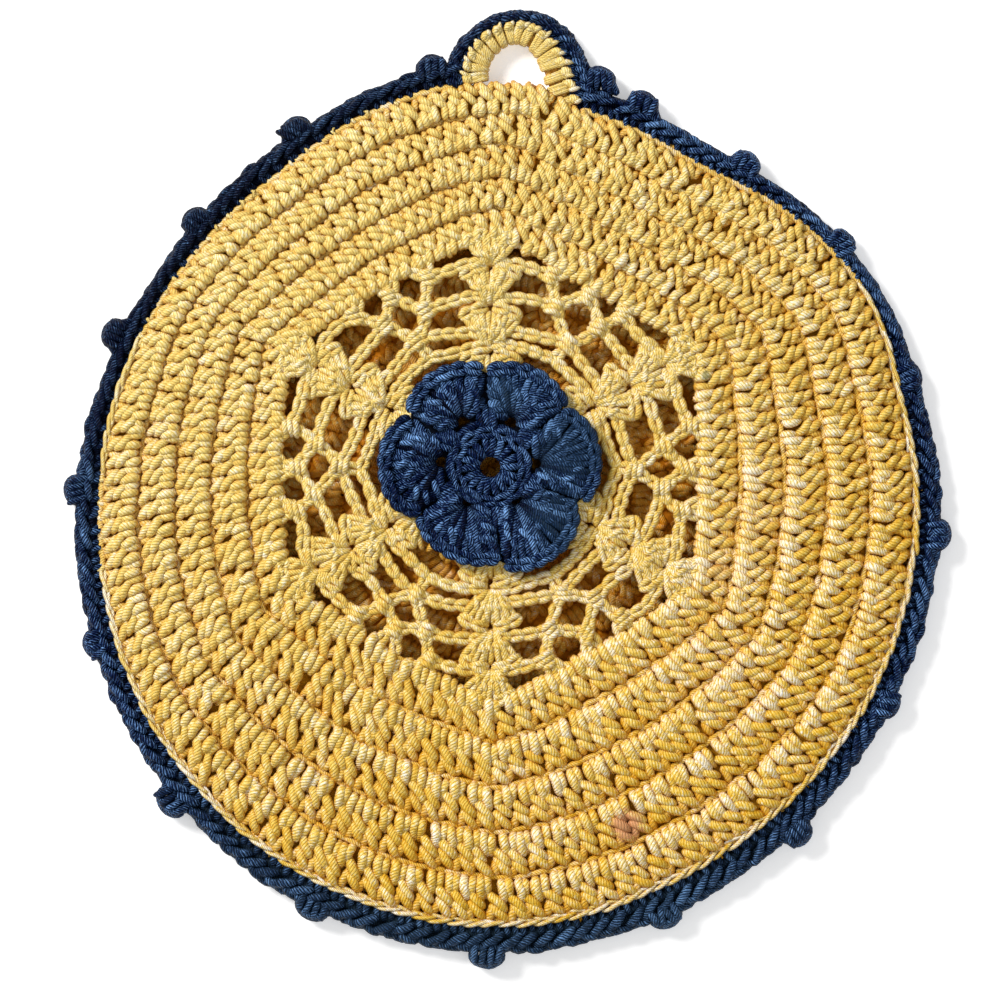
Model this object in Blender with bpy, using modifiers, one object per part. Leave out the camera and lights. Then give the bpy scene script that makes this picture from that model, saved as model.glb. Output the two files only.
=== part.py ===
"""A round crocheted pot holder, lying flat on its back with its front face up.

Two cotton panels lie one on the other: a solid back panel, and a front panel with a hexagonal lace window.
A border with picots closes their rims and runs on over the hanging loop, whose inner band is worked in
the panels' own yarn.  A flower with six petals covers the middle of the lace.

Metres, +Z up through the front face, +Y towards the hanging loop.  The origin is the centre of the disc,
on the underside.  The sizes below are in millimetres.
"""
import math

import bmesh
import bpy
from mathutils import Vector

MM = 0.001                  # one millimetre, in metres
GAP = 0.3                   # clearance between neighbouring pieces

PANEL_THICKNESS = 2.6       # one layer of double crochet
FRONT_CROWN = 1.0           # how far the front panel stands off the back panel inside its rim
BORDER_THICKNESS = 5.0
LOOP_THICKNESS = 4.2
FLOWER_THICKNESS = 2.4
FLOOR_CLEARANCE = 0.2       # the loop's strands lie this far off the table
EDGE_ROUNDING = 0.8
BORDER_ROUNDING = 1.0

SEGMENTS = 84               # steps round the panels, and stitches of the lace chart in one round
SECTORS = 6
LACE_CENTRE = Vector((-3.9, 7.3, 0.0))      # the rounds start off the disc's centre and drift back to it
LACE_EDGE = 43.5            # from the middle to the flat sides of the lace window
HEX_CORNER = 0.75           # 1 gives the window sharp corners, 0 makes it round

YELLOW = (0.62, 0.42, 0.12, 1.0)
BLUE = (0.03, 0.07, 0.20, 1.0)

# The rim, seen from the front: the radius of both panels, and the width of the border beyond it.
RIM_COLUMNS = ("bearing_deg", "panel", "border")
RIM = (
    (0, 85.3, 5.0),
    (15, 84.8, 4.4),
    (30, 86.6, 2.8),
    (45, 84.3, 3.3),
    (60, 81.1, 4.2),
    (72, 82.4, 4.6),
    (80, 84.0, 4.8),
    (87, 88.2, 4.5),
    (96, 88.2, 4.5),
    (110, 86.4, 4.2),
    (125, 83.9, 4.7),
    (150, 84.2, 3.7),
    (180, 85.7, 4.8),
    (210, 87.5, 5.1),
    (240, 88.6, 5.9),
    (270, 88.2, 5.9),
    (300, 85.6, 6.4),
    (330, 85.5, 5.0),
)
BORDER_START_DEG = 96.1     # the border leaves the rim where the loop's left foot stands
BORDER_END_DEG = 440.0      # and comes back to it at the right foot
BORDER_STEPS = 90

# The picots: where each stands on the border, and how far its knob reaches from the disc's centre.
PICOTS = (
    # bearing_deg, reach
    (-4.4, 93.0),
    (17.4, 90.6),
    (37.9, 91.0),
    (55.0, 89.2),
    (71.4, 90.8),
    (77.8, 93.4),
    (100.1, 95.2),
    (119.8, 92.6),
    (138.1, 90.9),
    (156.9, 92.6),
    (178.4, 93.4),
    (198.9, 94.3),
    (221.6, 97.4),
    (244.1, 97.2),
    (267.2, 97.9),
    (290.7, 95.4),
    (311.1, 94.9),
    (331.9, 92.6),
)
PICOT_RADIUS = 2.6

# The hanging loop, along the seam where its inner band meets the border strand, from the left foot over
# the top to the right foot: a point of the seam, and the widths of the two strands beside it.
LOOP_COLUMNS = ("x", "y", "inner_band", "border_strand")
LOOP = (
    (-8.6, 87.6, 4.2, 4.0),
    (-9.0, 91.3, 4.5, 3.8),
    (-7.8, 94.7, 4.3, 3.2),
    (-5.3, 97.6, 4.1, 2.8),
    (-2.2, 99.7, 4.0, 2.5),
    (1.4, 100.6, 4.0, 2.4),
    (5.0, 99.7, 4.1, 3.2),
    (8.0, 97.7, 4.3, 3.8),
    (10.2, 95.0, 4.6, 4.2),
    (11.7, 91.8, 4.8, 4.5),
    (12.9, 88.2, 4.9, 4.6),
    (14.2, 84.2, 5.0, 4.6),
)
LOOP_STEPS = 22
STRAND_START = 0.06         # the border strand starts and ends inside the border, off the panels' rim
STRAND_END = 0.98

# The rings of the front panel: how far out each ends, on the way to the lace window's flat sides, and
# which of the cells between two of the window's corners are open ("o").
LACE_RINGS = (
    # outer, cells
    (12.0, "............"),
    (22.5, "............"),
    (26.0, "............"),
    (30.0, ".oooo..oooo."),
    (32.0, "............"),
    (36.0, ".ooo.oo.ooo."),
    (38.0, "............"),
    (41.5, "oo.oo..oo.oo"),
    (LACE_EDGE, "............"),
)
BAND_RINGS = 3              # steps from the lace window to the rim

# The flower, about the middle of the lace: each petal's direction and reach.
PETALS = (
    # bearing_deg, reach
    (6, 23.2),
    (66, 22.6),
    (120, 23.2),
    (178, 23.4),
    (250, 20.8),
    (303, 23.2),
)
PETAL_NOTCH = 18.6          # where two petals part
PETAL_HALF_ANGLE = 32.0
FLOWER_SEGMENTS = 48
FLOWER_HOLE = 2.1
FLOWER_RINGS = (5.5, 9.0, 11.8, 16.5)       # between the middle hole and the petals' edge
EYELET_RING = 2             # the ring in which each petal has its eyelet, two cells wide

LACE_TOP = PANEL_THICKNESS + GAP + FRONT_CROWN + PANEL_THICKNESS


def clear_scene():
    for scene_object in list(bpy.data.objects):
        bpy.data.objects.remove(scene_object, do_unlink=True)


def new_collection(name):
    collection = bpy.data.collections.new(name)
    bpy.context.scene.collection.children.link(collection)
    return collection


def yarn_material(name, colour):
    material = bpy.data.materials.new(name)
    material.use_nodes = True
    shader = material.node_tree.nodes["Principled BSDF"]
    shader.inputs["Base Color"].default_value = colour
    shader.inputs["Roughness"].default_value = 0.8
    shader.inputs["Metallic"].default_value = 0.0
    material.diffuse_color = colour
    return material


def direction(bearing):
    angle = math.radians(bearing)
    return Vector((math.cos(angle), math.sin(angle), 0.0))


def smooth_step_between(before, start, end, after, share):
    """A cubic through start and end that heads the way its neighbours lie."""
    slope_start = (end - before) / 2
    slope_end = (after - start) / 2
    rise = end - start
    return (start + slope_start * share + (3 * rise - 2 * slope_start - slope_end) * share ** 2
            + (slope_start + slope_end - 2 * rise) * share ** 3)


def rim_value(bearing, column):
    """A column of RIM at any bearing, running smoothly through its rows and on round the circle."""
    index = RIM_COLUMNS.index(column)
    bearing = bearing % 360
    row = max(number for number, values in enumerate(RIM) if values[0] <= bearing)
    count = len(RIM)
    start_bearing = RIM[row][0]
    end_bearing = RIM[(row + 1) % count][0] + (360 if row + 1 == count else 0)
    share = (bearing - start_bearing) / (end_bearing - start_bearing)
    neighbours = [RIM[(row + step) % count][index] for step in (-1, 0, 1, 2)]
    return smooth_step_between(*neighbours, share)


def loop_value(share, column):
    """A column of LOOP, from the left foot at 0 to the right foot at 1."""
    index = LOOP_COLUMNS.index(column)
    last = len(LOOP) - 1
    row = min(int(share * last), last - 1)
    neighbours = [LOOP[min(max(row + step, 0), last)][index] for step in (-1, 0, 1, 2)]
    return smooth_step_between(*neighbours, share * last - row)


def window_point(bearing, flat_radius):
    """A point of a six-sided round about the middle of the lace, whose flat sides are flat_radius away."""
    sector = 360 / SECTORS
    off_flat = math.radians((bearing + sector / 2) % sector - sector / 2)
    corner = HEX_CORNER * flat_radius / LACE_EDGE * (1 / math.cos(off_flat) - 1)
    return LACE_CENTRE + direction(bearing) * flat_radius * (1 + corner)


def band_point(bearing, share):
    """A point of the solid band, from the lace window at 0 to the rim at 1."""
    inner = window_point(bearing, LACE_EDGE)
    outer = direction(bearing) * rim_value(bearing, "panel")
    return inner.lerp(outer, share)


def crowned(point, bearing):
    """The point lifted to the underside of the front panel, which drops to the back panel at its rim."""
    share = point.length / rim_value(bearing, "panel")
    base = PANEL_THICKNESS + GAP
    return Vector((point.x, point.y, base + FRONT_CROWN * max(0.0, 1 - share ** 6)))


def bent_grid(across, along, place, is_open=None):
    """A grid of faces bent into shape: place(u, v) gives the point for u across and v along it, 0 to 1.

    Cells for which is_open(cell_across, cell_along) holds are left out.
    """
    grid = bmesh.new()
    bmesh.ops.create_grid(grid, x_segments=across, y_segments=along, size=0.5)
    if is_open:
        open_faces = []
        for face in grid.faces:
            middle = face.calc_center_median()
            if is_open(int((middle.x + 0.5) * across), int((middle.y + 0.5) * along)):
                open_faces.append(face)
        bmesh.ops.delete(grid, geom=open_faces, context="FACES")
    for vertex in grid.verts:
        vertex.co = place(vertex.co.x + 0.5, vertex.co.y + 0.5) * MM
    bmesh.ops.remove_doubles(grid, verts=grid.verts, dist=0.001 * MM)
    return grid


def add_object(name, mesh_data, collection, material):
    mesh = bpy.data.meshes.new(name)
    mesh_data.to_mesh(mesh)
    mesh_data.free()
    mesh.materials.append(material)
    mesh.shade_smooth()
    mesh.set_sharp_from_angle(angle=math.radians(40))
    new_object = bpy.data.objects.new(name, mesh)
    collection.objects.link(new_object)
    return new_object


def thicken(sheet, thickness):
    """Give a sheet that is modelled as its own underside a thickness, upwards."""
    solidify = sheet.modifiers.new("thickness", "SOLIDIFY")
    solidify.thickness = thickness * MM
    solidify.offset = 1.0


def round_edges(piece, width):
    bevel = piece.modifiers.new("rounding", "BEVEL")
    bevel.width = width * MM
    bevel.segments = 1
    bevel.limit_method = "ANGLE"
    bevel.angle_limit = math.radians(60)


def make_cutter(piece):
    piece.hide_render = True
    piece.display_type = "WIRE"


def back_panel(collection, material):
    """The solid panel that the pot holder lies on."""
    def place(u, v):
        return band_point(360 * v, 1.0) * u

    panel = add_object("back_panel", bent_grid(1, SEGMENTS, place), collection, material)
    thicken(panel, PANEL_THICKNESS)
    round_edges(panel, EDGE_ROUNDING)


def front_panel(collection, material):
    """The panel with the lace window, whose gaps are the open cells of LACE_RINGS."""
    ring_ends = [0.0] + [outer for outer, _ in LACE_RINGS]
    rings = len(LACE_RINGS) + BAND_RINGS

    def place(u, v):
        ring = round(u * rings)
        bearing = 360 * v
        if ring < len(ring_ends):
            return crowned(window_point(bearing, ring_ends[ring]), bearing)
        return crowned(band_point(bearing, (ring - len(ring_ends) + 1) / BAND_RINGS), bearing)

    def is_open(ring, segment):
        if ring >= len(LACE_RINGS):
            return False
        _, cells = LACE_RINGS[ring]
        # the chart starts past the solid ray on a corner of the window, half a sector past bearing 0
        from_corner = (segment - SEGMENTS // SECTORS // 2 - 1) % (SEGMENTS // SECTORS)
        return from_corner < len(cells) and cells[from_corner] == "o"

    panel = add_object("front_panel", bent_grid(rings, SEGMENTS, place, is_open), collection, material)
    thicken(panel, PANEL_THICKNESS)


def border_ring():
    def place(u, v):
        bearing = BORDER_START_DEG + v * (BORDER_END_DEG - BORDER_START_DEG)
        radius = rim_value(bearing, "panel") + GAP + u * (rim_value(bearing, "border") - GAP)
        return direction(bearing) * radius

    return bent_grid(1, BORDER_STEPS, place)


def loop_band(near, far, start=0.0, end=1.0):
    """A strip along the hanging loop; near(share) and far(share) are its edges' distances out of the seam."""
    def place(u, v):
        share = start + (1 - v) * (end - start)
        nudge = 0.01
        here = Vector((loop_value(share, "x"), loop_value(share, "y"), FLOOR_CLEARANCE))
        behind = max(share - nudge, 0.0)
        ahead = min(share + nudge, 1.0)
        heading = Vector((loop_value(ahead, "x") - loop_value(behind, "x"),
                          loop_value(ahead, "y") - loop_value(behind, "y"), 0.0)).normalized()
        outward = Vector((-heading.y, heading.x, 0.0))
        return here + outward * (near(share) + u * (far(share) - near(share)))

    return bent_grid(1, LOOP_STEPS, place)


def picot(bearing, reach):
    """One knob of the border, half sunk into its outer edge."""
    knob = bmesh.new()
    bmesh.ops.create_icosphere(knob, subdivisions=2, radius=PICOT_RADIUS * MM)
    middle = direction(bearing) * (reach - PICOT_RADIUS)
    middle.z = BORDER_THICKNESS / 2 + FLOOR_CLEARANCE
    bmesh.ops.translate(knob, verts=knob.verts, vec=middle * MM)
    return knob


def edging(collection, material):
    """The border round both panels and over the hanging loop, with its picots, all one strand."""
    border = add_object("edging", border_ring(), collection, material)
    thicken(border, BORDER_THICKNESS)
    round_edges(border, BORDER_ROUNDING)

    knobs = new_collection("edging_shapes")
    half_gap = GAP / 2
    strand = loop_band(lambda share: half_gap, lambda share: loop_value(share, "border_strand"),
                       STRAND_START, STRAND_END)
    over_loop = add_object("loop_strand", strand, knobs, material)
    thicken(over_loop, LOOP_THICKNESS)
    round_edges(over_loop, BORDER_ROUNDING / 2)
    make_cutter(over_loop)
    for number, (bearing, reach) in enumerate(PICOTS, 1):
        make_cutter(add_object(f"picot_{number:02d}", picot(bearing, reach), knobs, material))

    union = border.modifiers.new("picots and loop strand", "BOOLEAN")
    union.operation = "UNION"
    union.operand_type = "COLLECTION"
    union.collection = knobs


def hanging_loop(collection, cutters, material):
    """The loop's inner band, cut off where it stands on the panels' rim."""
    half_gap = GAP / 2
    band = loop_band(lambda share: -loop_value(share, "inner_band"), lambda share: -half_gap)
    loop = add_object("hanging_loop", band, collection, material)
    thicken(loop, LOOP_THICKNESS)
    round_edges(loop, EDGE_ROUNDING)

    def place(u, v):
        bearing = 360 * v
        point = direction(bearing) * (rim_value(bearing, "panel") + GAP) * u
        return Vector((point.x, point.y, -PANEL_THICKNESS))

    clearance = add_object("rim_clearance", bent_grid(1, SEGMENTS, place), cutters, material)
    thicken(clearance, 4 * PANEL_THICKNESS)
    make_cutter(clearance)
    cut = loop.modifiers.new("stands on the rim", "BOOLEAN")
    cut.operation = "DIFFERENCE"
    cut.object = clearance


def petal_reach(bearing):
    """The flower's outline: the furthest petal at this bearing, or the notch between two."""
    furthest = PETAL_NOTCH
    for petal_bearing, reach in PETALS:
        off = abs((bearing - petal_bearing + 180) % 360 - 180) / PETAL_HALF_ANGLE
        if off < 1:
            furthest = max(furthest, PETAL_NOTCH + (reach - PETAL_NOTCH) * math.sqrt(1 - off ** 2))
    return furthest


def flower(collection, material):
    """Six petals about an open middle, with an eyelet at each petal's root."""
    rings = len(FLOWER_RINGS) + 1
    eyelet_cells = set()
    for bearing, _ in PETALS:
        first = round(bearing / 360 * FLOWER_SEGMENTS) - 1
        eyelet_cells.update({first % FLOWER_SEGMENTS, (first + 1) % FLOWER_SEGMENTS})

    def place(u, v):
        bearing = 360 * v
        radii = (FLOWER_HOLE,) + FLOWER_RINGS + (petal_reach(bearing),)
        point = LACE_CENTRE + direction(bearing) * radii[round(u * rings)]
        return Vector((point.x, point.y, LACE_TOP + GAP))

    def is_open(ring, segment):
        return ring == EYELET_RING and segment in eyelet_cells

    blossom = add_object("flower", bent_grid(rings, FLOWER_SEGMENTS, place, is_open), collection, material)
    thicken(blossom, FLOWER_THICKNESS)


def build():
    clear_scene()
    pot_holder = new_collection("pot_holder")
    cutters = new_collection("cutters")
    yellow = yarn_material("yellow_cotton", YELLOW)
    blue = yarn_material("blue_cotton", BLUE)
    back_panel(pot_holder, yellow)
    front_panel(pot_holder, yellow)
    edging(pot_holder, blue)
    hanging_loop(pot_holder, cutters, yellow)
    flower(pot_holder, blue)


build()
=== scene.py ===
"""The crocheted pot holder: every visible stitch as a length of plied yarn, laid where the CAD solids are."""

import math

import bpy
import numpy as np
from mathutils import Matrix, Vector


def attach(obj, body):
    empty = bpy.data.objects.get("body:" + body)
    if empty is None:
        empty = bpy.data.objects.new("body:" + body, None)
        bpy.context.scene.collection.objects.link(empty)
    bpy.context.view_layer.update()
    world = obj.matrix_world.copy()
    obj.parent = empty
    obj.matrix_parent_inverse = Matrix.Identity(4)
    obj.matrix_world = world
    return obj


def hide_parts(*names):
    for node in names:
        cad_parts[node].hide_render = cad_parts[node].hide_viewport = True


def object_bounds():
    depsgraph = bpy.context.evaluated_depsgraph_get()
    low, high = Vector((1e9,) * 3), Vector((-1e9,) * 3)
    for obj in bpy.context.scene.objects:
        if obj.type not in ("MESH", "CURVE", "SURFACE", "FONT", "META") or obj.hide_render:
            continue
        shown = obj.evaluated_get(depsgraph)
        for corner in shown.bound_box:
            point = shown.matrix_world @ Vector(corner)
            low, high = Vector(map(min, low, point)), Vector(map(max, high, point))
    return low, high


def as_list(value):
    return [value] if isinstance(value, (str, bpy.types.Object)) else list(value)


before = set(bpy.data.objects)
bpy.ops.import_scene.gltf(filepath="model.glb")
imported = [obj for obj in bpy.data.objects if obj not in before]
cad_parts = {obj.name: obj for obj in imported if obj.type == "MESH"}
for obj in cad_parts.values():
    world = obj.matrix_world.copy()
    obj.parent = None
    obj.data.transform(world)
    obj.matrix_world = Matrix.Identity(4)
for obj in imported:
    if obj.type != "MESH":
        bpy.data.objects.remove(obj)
cad_low, cad_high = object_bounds()

MM = 0.001
rng = np.random.default_rng(20)

# ---------------------------------------------------------------- sizes, as in part.py, in millimetres
GAP = 0.3
PANEL_THICKNESS = 2.6
FRONT_CROWN = 1.0
LACE_CENTRE = np.array([-3.9, 7.3])
LACE_EDGE = 43.5
HEX_CORNER = 0.75
DISC_REACH = 85.5           # the disc's nominal radius: places on it are counted out to this
RIM = (
    # bearing_deg, panel, border
    (0, 85.3, 5.0), (15, 84.8, 4.4), (30, 86.6, 2.8), (45, 84.3, 3.3), (60, 81.1, 4.2), (72, 82.4, 4.6),
    (80, 84.0, 4.8), (87, 88.2, 4.5), (96, 88.2, 4.5), (110, 86.4, 4.2), (125, 83.9, 4.7), (150, 84.2, 3.7),
    (180, 85.7, 4.8), (210, 87.5, 5.1), (240, 88.6, 5.9), (270, 88.2, 5.9), (300, 85.6, 6.4), (330, 85.5, 5.0),
)
LAY = 2.9                   # the length of yarn in which its plies make one full turn
PLIES = 5.0
UP = np.array([0.0, 0.0, 1.0])


def hermite(before, start, end, after, t):
    """Catmull-Rom between start and end."""
    a = 2 * start
    b = end - before
    c = 2 * before - 5 * start + 4 * end - after
    d = -before + 3 * start - 3 * end + after
    return 0.5 * (a + b * t + c * t * t + d * t ** 3)


HALF_DEGREES = np.arange(0, 360.5, 0.5)


def ring_table(rows, column):
    """A closed table as values at every half degree."""
    bearings = [row[0] for row in rows]
    n = len(rows)
    out = []
    for b in HALF_DEGREES[:-1]:
        i = max(k for k in range(n) if bearings[k] <= b)
        end = bearings[(i + 1) % n] + (360 if i == n - 1 else 0)
        t = (b - bearings[i]) / (end - bearings[i])
        out.append(hermite(*(rows[(i + k) % n][column] for k in (-1, 0, 1, 2)), t))
    return np.array(out + out[:1])


RIM_PANEL = ring_table(RIM, 1)
RIM_BORDER = ring_table(RIM, 2)


def rim(bearing, table=RIM_PANEL):
    return np.interp(np.mod(bearing, 360), HALF_DEGREES, table)


def directions(bearing):
    a = np.radians(bearing)
    return np.stack([np.cos(a), np.sin(a)], -1)


def window(bearing, flat):
    off = np.radians(np.abs((np.asarray(bearing) + 30) % 60 - 30))
    corner = HEX_CORNER * flat / LACE_EDGE * (1 / np.cos(off) - 1)
    return LACE_CENTRE + directions(bearing) * (flat * (1 + corner))[..., None]


def floats(*values):
    """The values as arrays of floats, all of one shape."""
    return np.broadcast_arrays(*(np.asarray(value, float) for value in values))


def raised(xy, z):
    return np.concatenate([xy, z[..., None]], -1)


def unit(vectors):
    return vectors / (np.linalg.norm(vectors, axis=-1, keepdims=True) + 1e-9)


def distances(line):
    """How far along a line each of its points lies."""
    return np.concatenate([[0], np.cumsum(np.linalg.norm(np.diff(line, axis=0), axis=1))])


def along_line(at, along, line):
    """The line's values at some distances, where its own points are at the distances in along."""
    return np.stack([np.interp(at, along, column) for column in line.T], -1)


def front(bearing, q, h):
    """A point of the front panel: q is how far out, DISC_REACH at the rim, and h the height over its underside."""
    bearing, q, h = floats(bearing, q, h)
    share = np.clip((q - LACE_EDGE) / (DISC_REACH - LACE_EDGE), 0, None)[..., None]
    inner = window(bearing, np.minimum(q, LACE_EDGE))
    outer = directions(bearing) * rim(bearing)[..., None]
    xy = inner + (outer - inner) * share
    out = np.linalg.norm(xy, axis=-1) / rim(np.degrees(np.arctan2(xy[..., 1], xy[..., 0])))
    return raised(xy, PANEL_THICKNESS + GAP + FRONT_CROWN * np.clip(1 - out ** 6, 0, 1) + h)


def back(bearing, q, h):
    """A point of the back panel, h being the height over the floor."""
    bearing, q, h = floats(bearing, q, h)
    return raised(directions(bearing) * (rim(bearing) * q / DISC_REACH)[..., None], h)


def add(name, data):
    made = bpy.data.objects.new(name, data)
    bpy.context.scene.collection.objects.link(made)
    return made


# ---------------------------------------------------------------- yarn
def sampler(points, samples):
    """The matrix that turns control points into samples along the Catmull-Rom curve through them."""
    m = np.zeros((samples, points))
    for k, t in enumerate(np.linspace(0, points - 1, samples)):
        i = min(int(t), points - 2)
        f = t - i
        ends = [max(i - 1, 0), i, i + 1, min(i + 2, points - 1)]
        for e, j in enumerate(ends):
            m[k, j] += hermite(*[1.0 if w == e else 0.0 for w in range(4)], f)
    return m


def corners(x0, x1, y0, y1, *before):
    """A map's values at each quad's corners, from its sides, with what comes before them."""
    sides = ((x0, y0), (x1, y0), (x1, y1), (x0, y1))
    return np.stack([np.stack([*before, x, y], -1) for x, y in sides], -2).reshape(-1, 2 + len(before))


class Yarn:
    """Collects lengths of yarn, and makes one mesh of their tubes."""

    def __init__(self, name, sides=6, step=0.8):
        self.name, self.sides, self.step = name, sides, step
        self.points, self.faces, self.caps, self.uv, self.tone, self.deep = [], [], [], [], [], []
        self.cells, self.cap_cells = [], []
        self.count = self.lengths = 0

    def lay(self, points, radius, tone=0.0, deep=0.0, up=UP, taper=0.55):
        """points is (lengths, points, 3) in mm. deep is how far down each point lies, 0 on top to 1 at the bottom, and
        sets its painted shade; a tube's sides get more painted shade.
        """
        points = np.asarray(points, float)
        if points.ndim == 2:
            points = points[None]
        m, n, _ = points.shape
        rough = np.linalg.norm(np.diff(points, axis=1), axis=2).sum(1).mean()
        k = max(3, int(round(rough * 1.05 / self.step)) + 1)
        s = self.sides
        basis = sampler(n, k)
        line = np.einsum("kn,mnc->mkc", basis, points)
        deep = np.einsum("kn,mn->mk", basis, np.broadcast_to(np.asarray(deep, float), (m, n)))
        heading = unit(np.gradient(line, axis=1))
        side = unit(np.cross(heading, up))
        lift = np.cross(side, heading)
        share = np.linspace(0, 1, k)
        plump = taper + (1 - taper) * np.sin(np.pi * share) ** 0.45
        radius = np.asarray(radius, float)
        size = (radius @ basis.T if radius.ndim == 2 else radius.reshape(-1, 1)) * plump
        size = np.broadcast_to(size, (m, k))
        turn = np.arange(s) / s * 2 * np.pi
        away = np.cos(turn)[:, None] * side[:, :, None] + np.sin(turn)[:, None] * lift[:, :, None]
        ring = line[:, :, None] + size[:, :, None, None] * away
        index = self.count + np.arange(m * k * s).reshape(m, k, s)
        a, b = index[:, :-1], index[:, 1:]
        self.points.append(ring.reshape(-1, 3))
        self.faces.append(np.stack([a, b, np.roll(b, -1, 2), np.roll(a, -1, 2)], -1).reshape(-1, 4))
        # the Yarn map: turns of the plies along the yarn, and the share of the way round it
        steps = np.cumsum(np.linalg.norm(np.diff(line, axis=1), axis=2), axis=1)
        along = np.concatenate([np.zeros((m, 1)), steps], 1) / LAY + rng.random((m, 1)) * 7
        u0, u1 = (np.repeat(u[..., None], s, 2) for u in (along[:, :-1], along[:, 1:]))
        v0 = np.broadcast_to(np.arange(s) / s, u0.shape)
        self.uv.append(corners(u0, u1, v0, v0 + 1 / s))
        # the bake's map: each length in a cell of its own, (cell, across, up)
        own = self.lengths + np.arange(m)
        x0, x1 = (np.broadcast_to(0.1 + 0.8 * x[:, None], u0.shape) for x in (share[:-1], share[1:]))
        y0 = np.broadcast_to(0.06 + 0.88 * np.arange(s) / s, u0.shape)
        self.cells.append(corners(x0, x1, y0, y0 + 0.88 / s, np.broadcast_to(own[:, None, None], u0.shape)))
        for end, order, x in ((0, 1, 0.05), (-1, -1, 0.95)):
            angle = np.broadcast_to(turn[::order], (m, s))
            spot = np.broadcast_to(own[:, None], (m, s)), x + 0.035 * np.cos(angle), 0.5 + 0.3 * order * np.sin(angle)
            self.cap_cells.append(np.stack(spot, -1).reshape(-1, 3))
            round_it = np.broadcast_to((np.arange(s) / s)[::order], (m, s))
            self.caps.append((index[:, end, ::order], np.stack([np.repeat(along[:, end, None], s, 1), round_it], -1)))
        self.tone.append(np.broadcast_to(np.asarray(tone, float).reshape(-1, 1, 1), (m, k, s)).ravel())
        # painted shade: deep along the line, plus more where the tube's side turns away from above
        self.deep.append((deep[:, :, None] + np.clip(0.7 - np.abs(away[..., 2]), 0, 1)).ravel())
        self.count += m * k * s
        self.lengths += m

    def make(self, material, slot, *nodes):
        points = np.concatenate(self.points) * MM
        quads = np.concatenate(self.faces)
        caps, cap_uv = (np.concatenate(part) for part in zip(*self.caps))
        uv = np.concatenate([*self.uv, cap_uv.reshape(-1, 2)])
        cell, x, y = np.concatenate(self.cells + self.cap_cells).T
        columns = math.ceil(math.sqrt(self.lengths))
        rows = math.ceil(self.lengths / columns)
        flat = np.stack([(cell % columns + x) / columns, (cell // columns + y) / rows], -1)
        loops = np.concatenate([quads.ravel(), caps.ravel()])
        total = np.concatenate([np.full(len(quads), 4), np.full(len(caps), self.sides)])
        starts = np.concatenate([[0], np.cumsum(total)[:-1]])
        mesh = bpy.data.meshes.new(self.name)
        mesh.vertices.add(len(points))
        mesh.vertices.foreach_set("co", points.astype(np.float32).ravel())
        mesh.loops.add(len(loops))
        mesh.loops.foreach_set("vertex_index", loops.astype(np.int32))
        mesh.polygons.add(len(total))
        mesh.polygons.foreach_set("loop_start", starts.astype(np.int32))
        mesh.polygons.foreach_set("loop_total", total.astype(np.int32))
        mesh.polygons.foreach_set("use_smooth", np.ones(len(total), bool))
        for name, values in (("Yarn", uv), ("OFBake", flat)):
            layer = mesh.uv_layers.new(name=name)
            layer.uv.foreach_set("vector", values.astype(np.float32).ravel())
        for name, values in (("tone", self.tone), ("deep", self.deep)):
            attribute = mesh.attributes.new(name, "FLOAT", "POINT")
            attribute.data.foreach_set("value", np.concatenate(values).astype(np.float32))
        mesh.update()
        mesh.validate()
        mesh.materials.append(material)
        piece = add(self.name, mesh)
        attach(piece, "root")
        if nodes:
            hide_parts(*nodes)
        print(f"PIECE {self.name}: {2 * len(quads) + (self.sides - 2) * len(caps)} triangles")
        return piece


# ---------------------------------------------------------------- materials
class Nodes:
    """Short calls for building a material's nodes."""

    def __init__(self, name):
        self.material = bpy.data.materials.new(name)
        self.material.use_nodes = True
        self.tree = self.material.node_tree
        self.shader = self.tree.nodes["Principled BSDF"]

    def node(self, kind, inputs=(), **settings):
        node = self.tree.nodes.new(kind)
        for key, value in settings.items():
            setattr(node, key, value)
        for key, value in dict(inputs).items():
            socket = node.inputs[key]
            if isinstance(value, bpy.types.NodeSocket):
                self.tree.links.new(value, socket)
            else:
                socket.default_value = value
        return node

    def math(self, operation, *values):
        return self.node("ShaderNodeMath", dict(enumerate(values)), operation=operation).outputs[0]

    def add(self, a, b):
        return self.math("ADD", a, b)

    def times(self, a, b):
        return self.math("MULTIPLY", a, b)

    def scaled(self, value, by, plus):
        return self.math("MULTIPLY_ADD", value, by, plus)

    def clamp(self, value):
        return self.node("ShaderNodeClamp", {0: value}).outputs[0]

    def mix(self, share, under, colour):
        return self.node("ShaderNodeMix", {0: share, 6: under, 7: (*colour, 1)}, data_type="RGBA").outputs[2]

    def noise(self, place, scale, detail, **inputs):
        return self.node("ShaderNodeTexNoise", {"Vector": place, "Scale": scale, "Detail": detail, **inputs}).outputs[0]

    def bump(self, height, distance):
        bumped = self.node("ShaderNodeBump", {"Height": height, "Distance": distance * MM, "Strength": 1.0}).outputs[0]
        self.tree.links.new(bumped, self.shader.inputs["Normal"])


    def ramp(self, value, *stops):
        node = self.node("ShaderNodeValToRGB", {0: value})
        while len(node.color_ramp.elements) < len(stops):
            node.color_ramp.elements.new(0.5)
        for element, (position, colour) in zip(node.color_ramp.elements, stops):
            element.position, element.color = position, (*colour, 1)
        return node.outputs[0]


def linear(r, g, b):
    return tuple(((c / 255 + 0.055) / 1.055) ** 2.4 if c > 10 else c / 255 / 12.92 for c in (r, g, b))


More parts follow.
